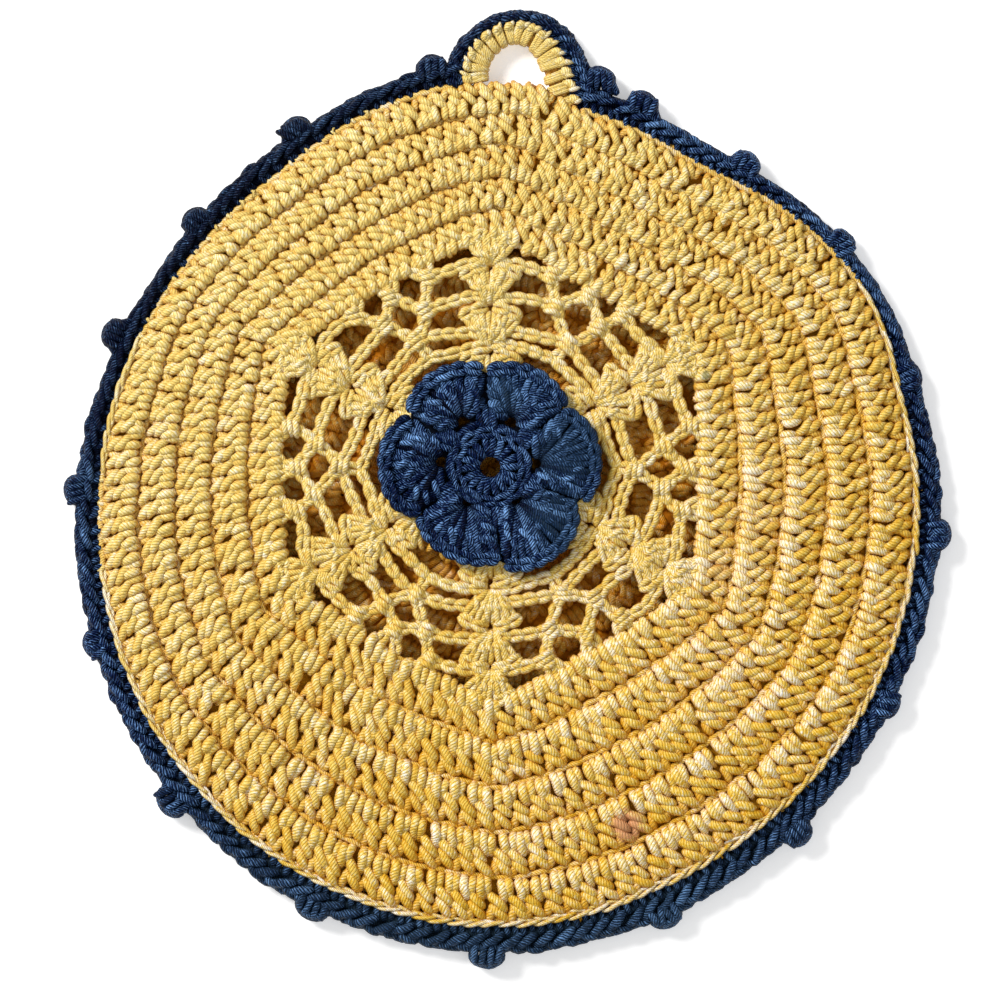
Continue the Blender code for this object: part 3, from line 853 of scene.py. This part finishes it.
def rim_yarn():
    yarn = Yarn("rim_chain", sides=6, step=0.8)
    pitch = 360 / ROUND_STITCHES[-1]
    starts = np.concatenate([np.arange(*TOP_ROPE, pitch), np.arange(ROPE_FROM, ROPE_TO, pitch)])
    m = len(starts)
    for table, size in (
        (((-0.80, 0.08, 3.8), (-0.35, 0.10, 4.55), (0.1, 0.04, 4.75), (0.55, -0.04, 4.6), (0.85, -0.10, 3.9)), 0.47),
        (((-0.75, -0.14, 3.9), (-0.3, -0.11, 4.35), (0.2, -0.04, 4.35), (0.6, 0.06, 3.8)), 0.38),
    ):
        u, t, z = spread(table, m, v=0.02)
        yarn.lay(border(starts[:, None] + u * pitch, t, z), size * rng.uniform(0.9, 1.1, m),
                 tone=tones(m, 0.12) + 0.16)
    # what fills the rim under it
    at = np.arange(98.0, 438.0, 2.4)[:, None] + np.linspace(-0.5, 2.9, 4)
    # in painted shade
    yarn.lay(border(at, np.array([-0.16, -0.08, -0.03, 0.0]), 3.55), 0.80, tone=tones(len(at), 0.1), deep=0.3,
             taper=0.7)
    # wisps across the dark gap inside the border, darkened with painted shade
    at = rng.uniform(205, 434, 56)
    m = len(at)
    u, t, z = spread(((0.0, -0.05, 3.2), (0.0, 0.12, 3.55), (0.0, 0.28, 3.3)), m, u=0.25, v=0.05)
    yarn.lay(border(at[:, None] + u * pitch, t, z), rng.uniform(0.22, 0.42, m), tone=tones(m, 0.15) - 0.3, deep=0.45,
             taper=0.3)
    # the spikes
    starts = np.arange(SPIKES_FROM, SPIKES_TO, pitch)
    starts = starts[(rng.random(len(starts)) < 0.75) & ((starts < TOP_ROPE[0]) | (starts > TOP_ROPE[1]))]
    m = len(starts)
    u, t, z = spread(((0.0, -0.28, 3.9), (0.03, -0.08, 4.3), (0.05, 0.06, 4.3), (0.05, 0.17, 3.9)), m, u=0.16, v=0.06)
    yarn.lay(border(starts[:, None] + u * pitch, t, z), 0.54 * rng.uniform(0.75, 1.1, m), tone=tones(m, 0.12) + 0.1)
    return yarn.make(yellow, "yellow_cotton")


# ---------------------------------------------------------------- hanging loop
LOOP = (
    # x, y, inner_band, border_strand
    (-8.6, 87.6, 4.2, 4.0), (-9.0, 91.3, 4.5, 3.8), (-7.8, 94.7, 4.3, 3.2), (-5.3, 97.6, 4.1, 2.8),
    (-2.2, 99.7, 4.0, 2.5), (1.4, 100.6, 4.0, 2.4), (5.0, 99.7, 4.1, 3.2), (8.0, 97.7, 4.3, 3.8),
    (10.2, 95.0, 4.6, 4.2), (11.7, 91.8, 4.8, 4.5), (12.9, 88.2, 4.9, 4.6), (14.2, 84.2, 5.0, 4.6),
)
LOOP_SAMPLES = 221
LOOP_TABLE = sampler(len(LOOP), LOOP_SAMPLES) @ np.array(LOOP)
LOOP_SHARES = np.linspace(0, 1, LOOP_SAMPLES)


def loop(share, off, z):
    """A point by the loop: off is out of the seam, in shares of the blue strand, or below 0 of the yellow band."""
    share, off, z = floats(share, off, z)
    x, y, band, strand = np.moveaxis(along_line(share, LOOP_SHARES, LOOP_TABLE), -1, 0)
    near = np.clip(share, 0.012, 0.988)
    ahead = along_line(near + 0.01, LOOP_SHARES, LOOP_TABLE) - along_line(near - 0.01, LOOP_SHARES, LOOP_TABLE)
    dx, dy = ahead[..., 0], ahead[..., 1]
    long = np.hypot(dx, dy)
    reach = off * np.where(off > 0, strand, band)
    return np.stack([x - dy / long * reach, y + dx / long * reach, z], -1)


LOOP_WRAPS = 16
LOOP_Z = 2.3


def loop_yarn():
    yarn = Yarn("loop_band", sides=6, step=0.75)
    at = np.linspace(0.035, 0.985, LOOP_WRAPS)
    width = 1 / LOOP_WRAPS
    for share in at:
        lean = rng.normal(0.1, 0.3)
        heading = loop(share + 0.02, -0.5, 0) - loop(share - 0.02, -0.5, 0)
        heading = heading / np.linalg.norm(heading)
        short = rng.uniform(-0.06, 0.08)
        for u, rise in ((-0.25, 0.0), (0.0, 0.22), (0.25, 0.05)):
            u = u + rng.normal(0, 0.03)
            off = np.array([-0.02, -0.16, -0.36, -0.64, -0.90, -0.97, -0.88, -0.55, -0.1])
            z = np.array([0.9, 1.4, 1.65, 1.55, 1.1, 0.0, -1.1, -1.6, -1.5]) * (1 + 0.1 * rise)
            z = LOOP_Z + z + rng.normal(0, 0.05, 9)
            s = share + width * (u * (1.0 - 0.18 * np.clip(-off, 0, 1)) + lean * off * 0.5)
            yarn.lay(loop(s, off, z), (0.56 + 0.2 * rise) * rng.uniform(0.9, 1.1), tone=tones(1, 0.1) - 0.04,
                     up=heading, taper=0.4)
        # the stitch's head lies over its outer end
        for end, size in ((0.0, 0.80), (-0.12, 0.66)):
            s = share + width * (np.array([-0.36, -0.12, 0.14, 0.36]) + rng.normal(0, 0.04))
            off = np.array([-0.22, -0.06, 0.0, -0.12]) + end + short + rng.normal(0, 0.03, 4)
            yarn.lay(loop(s, off, LOOP_Z + np.array([1.4, 1.95, 2.0, 1.5]) + end), size, tone=tones(1) + 0.02)
        # the chain's loops poke out between the blue stitches
        s = np.array([0.22, 0.34, 0.46, 0.56]) + rng.normal(0, 0.08) + np.arange(4) * rng.normal(0, 0.05)
        off = np.array([-0.12, 0.06, 0.22, 0.36]) * rng.uniform(0.7, 1.2)
        yarn.lay(loop(share + width * s, off, LOOP_Z + np.array([1.75, 2.15, 2.2, 1.7])),
                 np.array([[0.60, 0.62, 0.46, 0.16]]) * rng.uniform(0.8, 1.15), tone=tones(1, 0.1) + 0.26, taper=0.9)
    return yarn.make(yellow, "yellow_cotton")


LOOP_STITCHES = 24


def loop_strand():
    yarn = Yarn("edging_over_loop", sides=6, step=0.8)
    at = np.linspace(0.03, 1.0, LOOP_STITCHES)
    width = at[1] - at[0]
    m = len(at)
    for mirrored in (False, True):
        for size, table in EDGE_STRANDS:
            u, t, z = spread(table, m)
            z = LOOP_Z - (z - 2.55) * 0.75 if mirrored else LOOP_Z + (z - 2.55) * 0.9
            off = np.clip(t, 0.02, 1) * 0.9 + 0.02
            yarn.lay(loop(at[:, None] - u * width, off, z), size * 0.95, tone=tones(m, 0.06))
    u, t, z = spread(EDGE_OUTER, m)
    yarn.lay(loop(at[:, None] - u * width, t * 0.93, z - BORDER_MIDDLE + LOOP_Z), 0.8, tone=tones(m, 0.06))
    return yarn.make(blue, "blue_cotton")


# ---------------------------------------------------------------- flower
PETALS = ((6, 23.2), (66, 22.6), (120, 23.2), (178, 23.4), (250, 20.8), (303, 23.2))
PETAL_NOTCH = 18.6
PETAL_HALF_ANGLE = 32.0
FLOWER_Z = PANEL_THICKNESS + GAP + FRONT_CROWN + PANEL_THICKNESS + GAP
# where each petal's stitches come out of: bearing and radius; then the petal's two sides, its lift, and how far its
# tip lies lower
FANS = (
    # bearing_deg, radius, from_deg, to_deg, lift, lip
    (4, 9.6, -21, 39, 0.5, 0.0), (65, 10.4, 38, 93, 0.0, 0.2), (121, 11.2, 93, 147, 0.0, 0.7),
    (174, 10.4, 147, 213, 0.0, 0.7), (236, 8.6, 213, 277, 0.0, 0.2), (307, 8.4, 277, 339, 0.3, 0.0),
)
EYELET = 1.25
GROUND_RING = 12.4          # out to here the flower's ground is round, and beyond it follows the petals
GROUND_EDGE = 23.2


def petal_reach(bearing):
    bearing = np.asarray(bearing, float)
    furthest = np.full(bearing.shape, PETAL_NOTCH)
    for petal_bearing, reach in PETALS:
        off = np.abs((bearing - petal_bearing + 180) % 360 - 180) / PETAL_HALF_ANGLE
        furthest = np.maximum(furthest, PETAL_NOTCH + (reach - PETAL_NOTCH) * np.sqrt(np.clip(1 - off ** 2, 0, 1)))
    return furthest


def bloom(xy, h):
    xy = np.asarray(xy, float)
    return raised(xy + LACE_CENTRE, FLOWER_Z + np.broadcast_to(np.asarray(h, float), xy.shape[:-1]))


def bloom_ring(bearings, radii, h):
    """Points of the flower at bearings and radii about its middle."""
    return bloom(directions(bearings) * np.asarray(radii)[..., None], h)


def petal(yarn, bearing, radius, start, end, lift, lip):
    """Strands fanned out of an eyelet to the petal's edge, with the stitches' wraps over them and a chain round it."""
    eyelet = directions(bearing) * radius
    round_it = np.linspace(start + 1.5, end - 1.5, 40)
    sides = np.linspace(0, 1, 8)[:, None]
    arc = directions(round_it) * (petal_reach(round_it) - 1.7)[:, None]
    inner = radius + 1.2
    outline = np.concatenate([directions(start + 3.5) * inner * (1 - sides) + arc[0] * sides, arc[1:-1],
                              arc[-1] * (1 - sides) + directions(end - 3.5) * inner * sides])
    along = distances(outline)
    count = int(along[-1] / 1.6)
    at = (np.arange(count) + 0.5) / count * along[-1] + rng.normal(0, 0.12, count)
    target = along_line(at, along, outline)
    way = target - eyelet
    long = np.linalg.norm(way, axis=1)
    way = way / long[:, None]
    t = np.array([0.0, 0.2, 0.45, 0.7, 0.9, 1.0])
    x = EYELET + (long[:, None] - EYELET) * t
    bow = rng.normal(0, 0.25, count)[:, None] * np.sin(np.pi * t)
    side = np.stack([-way[:, 1], way[:, 0]], -1)
    xy = eyelet + way[:, None] * x[..., None] + side[:, None] * bow[..., None]
    middle = np.sin(np.pi * (np.arange(count) + 0.5) / count)[:, None]
    h = np.array([0.0, 1.15, 1.65, 1.75, 1.35, 0.8]) + rng.normal(0, 0.16, (count, 1))
    h = h + (lift + 0.25 * middle) * np.sin(np.pi * np.clip(t * 0.62 + 0.1, 0, 1))
    h = h - lip * np.array([0.0, 0.0, 0.2, 0.9, 1.2, 0.6])
    # painted shade, more on the lower points and most by the eyelet
    yarn.lay(bloom(xy, h), 0.92 * rng.uniform(0.88, 1.08, count), tone=tones(count, 0.16),
             deep=np.clip((1.0 - h) / 1.2, 0, 1) + np.array([0.5, 0.55, 0.12, 0.0, 0.0, 0.1]), taper=0.45)
    # the wraps
    some = np.arange(1, count - 1, 2)
    slant = np.array([-0.9, -0.45, 0.05, 0.55, 1.0])
    place = long[some] * rng.uniform(0.55, 0.72, len(some))
    xy = eyelet + way[some][:, None] * (place[:, None] + slant * 1.5)[..., None]
    xy = xy + side[some][:, None] * (slant * 0.95)[:, None]
    h = np.array([1.2, 2.1, 2.4, 2.1, 1.2]) + lift * 0.8 + 0.1
    yarn.lay(bloom(xy, h), 0.74, tone=tones(len(some), 0.12) + 0.06)
    # the edge's chain
    edge = np.linspace(start + 2.5, end - 2.5, 31)
    line = bloom_ring(edge, petal_reach(edge) - 1.15, 1.25 + lift * 0.9 + lip * 0.5)
    chain(yarn, line, width=1.35, size=0.84, lift=0.3)
    yarn.lay(bloom_ring(edge[::3], petal_reach(edge[::3]) - 0.85, 0.35 + lift * 0.6), 0.72, tone=-0.12)


def flower_yarn():
    yarn = Yarn("flower_stitches", sides=6, step=0.7)
    # the middle ring of single crochet, and the chain of its tops
    for k in range(18):
        b = 20 * k + rng.normal(0, 2) + np.array([0, 0, 1, 3, 4])
        h = np.array([0.3, 1.35, 1.8, 1.5, 0.7])
        yarn.lay(bloom_ring(b, [2.55, 2.9, 4.2, 5.6, 6.4], h), 0.88, tone=tones(1, 0.07), taper=0.4)
    ring = np.linspace(0, 360, 49)
    chain(yarn, bloom(directions(ring) * 7.3, 1.4), links=13, width=1.35, size=0.70)
    for fan in FANS:
        # the ring's far side by the eyelet
        arc = fan[0] + np.array([-26, -15, -5, 5, 15, 26])
        h = np.array([0.5, 1.1, 1.3, 1.3, 1.1, 0.5])
        yarn.lay(bloom(directions(arc) * (fan[1] - EYELET - 0.65), h), 0.86, tone=tones(1, 0.07) - 0.05)
        # what joins the petals to the ring, between two eyelets
        for off in (-9, -3.5, 2.5, 8.5):
            b = fan[3] + off + rng.normal(0, 1) + np.array([-2, 0, 1, 0])
            r = np.array([8.2, 9.4, 11.2, 13.2]) + rng.normal(0, 0.2)
            yarn.lay(bloom_ring(b, r, np.array([0.9, 1.6, 1.7, 0.9])), 0.80, tone=tones(1, 0.07))
        petal(yarn, *fan)
    return yarn.make(blue, "blue_cotton", "flower")


def flower_ground():
    def place(b, q, h):
        b, q = np.broadcast_arrays(b, q)
        beyond = (q - GROUND_RING) / (GROUND_EDGE - GROUND_RING) * (petal_reach(b) - 1.2 - GROUND_RING)
        return bloom_ring(b, np.where(q > GROUND_RING, GROUND_RING + beyond, q), h)

    bearings = np.arange(180) * 2.0
    qs = [2.6, 5.0, 7.2, 8.0, 8.8, 9.6, 10.4, 11.2, 12.0, GROUND_RING, 15, 19, GROUND_EDGE]

    def is_open(row, column):
        if not 7 < qs[row] < 12.2:
            return False
        here = directions(bearings[column] + 1) * (qs[row] + 0.4)
        return any(np.linalg.norm(here - directions(b) * r) < EYELET for b, r, *_ in FANS)

    # its near-black colour is painted shade
    return sheet_mesh("flower_ground", place, bearings, qs, dark_ground, is_open, h=0.55)


def border_core():
    """What lies inside the border's stitches."""
    at = np.arange(BORDER_START_DEG - 1.0, BORDER_END_DEG + 2.0, 1.5)
    yarn = Yarn("edging_core", sides=8, step=2.4)
    # painted shade: the core is dark, as it lies in shade inside the stitches
    for t, size in ((0.02, 1.15), (0.40, 1.35), (0.74, 1.1)):
        yarn.lay(border(at, t, BORDER_MIDDLE), size, tone=-0.3, deep=0.8, taper=1.0)
    share = np.linspace(0.05, 0.97, 40)
    for off, size in ((0.28, 0.9), (0.62, 0.8)):
        yarn.lay(loop(share, off, LOOP_Z), size, tone=-0.3, deep=0.8, taper=1.0)
    return yarn.make(blue, "blue_cotton")


def loop_core():
    yarn = Yarn("loop_core", sides=8, step=2.0)
    # painted shade: the core is dark, as it lies in shade inside the stitches
    for off, size in ((-0.72, 1.0), (-0.45, 1.2), (-0.1, 1.1)):
        yarn.lay(loop(np.linspace(0.03, 0.97, 40), off, LOOP_Z), size, tone=-0.2, deep=0.7, taper=1.0)
    return yarn.make(yellow, "yellow_cotton")


front_pieces = front_rounds()
lace_piece = lace()
front_base = front_ground()
back_pieces = back_rounds()
back_base = sheet_mesh("back_ground", back, np.arange(0, 360, 3.0), np.linspace(0.01, DISC_REACH - 0.6, 18),
                       under_ground, h=1.3)
edge_pieces = edging_pieces()
core = border_core()
rope = rim_yarn()
loop_piece = loop_yarn()
loop_inside = loop_core()
over_loop = loop_strand()
blossom = flower_yarn()
blossom_base = flower_ground()

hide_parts("front_panel")
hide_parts("back_panel")
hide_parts("edging")
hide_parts("hanging_loop")


def cut(piece):
    """A flat piece's size and its area without its openings, in metres."""
    mesh = piece.data
    flat = np.array([v.co[:2] for v in mesh.vertices])
    area = 0.0
    for polygon in mesh.polygons:
        x, y = flat[list(polygon.vertices)].T
        area += abs(np.dot(x, np.roll(y, -1)) - np.dot(y, np.roll(x, -1))) / 2
    return tuple(float(side) for side in flat.max(0) - flat.min(0)), float(area)


for piece, rests_on, with_pieces in (
    (front_base, ["back_panel"], [*front_pieces, lace_piece, rope]),
    (back_base, ["floor"], [*back_pieces, *edge_pieces, core, loop_piece, loop_inside, over_loop]),
    (blossom_base, ["front_panel"], [blossom]),
):
    size, area = cut(piece)
    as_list(rests_on)
    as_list(with_pieces)

# ---------------------------------------------------------------- floor, light and camera
def stage():
    mesh = bpy.data.meshes.new("floor")
    size = 3.0
    mesh.from_pydata([(-size, -size, 0), (size, -size, 0), (size, size, 0), (-size, size, 0)], [], [(0, 1, 2, 3)])
    floor = add("floor", mesh)
    floor.location.z = cad_low.z
    n = Nodes("pale_floor")
    n.shader.inputs["Base Color"].default_value = (0.93, 0.93, 0.93, 1)
    n.shader.inputs["Roughness"].default_value = 0.9
    n.shader.inputs["Specular IOR Level"].default_value = 0.1
    n.shader.inputs["Emission Color"].default_value = (1, 1, 1, 1)
    n.shader.inputs["Emission Strength"].default_value = 0.35
    floor.data.materials.append(n.material)

    def lamp(name, place, size, power, colour=(1, 1, 1)):
        light = bpy.data.lights.new(name, "AREA")
        light.shape, light.size, light.energy, light.color = "DISK", size, power, colour
        lit = add(name, light)
        lit.location = place
        lit.rotation_mode = "QUATERNION"
        lit.rotation_quaternion = (-Vector(place)).to_track_quat("-Z", "Y")

    lamp("key", (-1.38, 1.14, 1.28), 0.85, 60.0, (1.0, 0.985, 0.96))
    lamp("fill", (0.9, -0.7, 1.2), 1.4, 4.5, (0.95, 0.97, 1.0))
    world = bpy.data.worlds.new("soft")
    world.use_nodes = True
    world.node_tree.nodes["Background"].inputs[0].default_value = (1, 1, 1, 1)
    world.node_tree.nodes["Background"].inputs[1].default_value = 0.42
    bpy.context.scene.world = world
    bpy.context.scene.view_settings.view_transform = "Standard"


def camera():
    data = bpy.data.cameras.new("camera")
    eye = add("camera", data)
    high = 1.5
    front_height = 0.005
    view_width = 0.210          # the photo's frame across, on the disc's front
    data.sensor_width = 36
    data.lens = data.sensor_width * (high - front_height) / view_width
    data.clip_end = 20
    eye.location = (-0.00189, 0.00042, high)
    eye.rotation_euler = (0, 0, 0)
    bpy.context.scene.camera = eye


stage()
camera()
